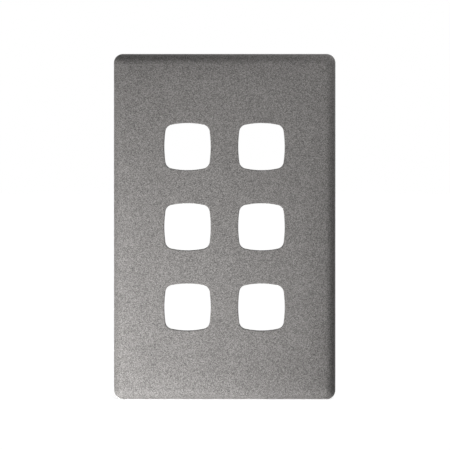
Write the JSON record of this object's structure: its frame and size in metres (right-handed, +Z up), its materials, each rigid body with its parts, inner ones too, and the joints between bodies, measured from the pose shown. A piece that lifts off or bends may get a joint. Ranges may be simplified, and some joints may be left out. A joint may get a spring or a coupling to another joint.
{
  "type": "switch plate",
  "caption": "Clip-on cover plate for wall light switches: flat face with softly rolled edges and a grid of openings, square with bowed sides.",
  "frame": {"origin": "middle of the plane that the rim touches, which is the face of the wall", "axes": "upright as on the wall: +X to the right seen from the front, +Y into the wall, +Z up; the slot that levers the plate off is at the bottom"},
  "size_m": [0.0744, 0.009, 0.116],
  "materials": {
    "satin_metallic_coat": "satin"
  },
  "bodies": {
    "root": {"cover_plate": "satin_metallic_coat"}
  },
  "joints": []
}
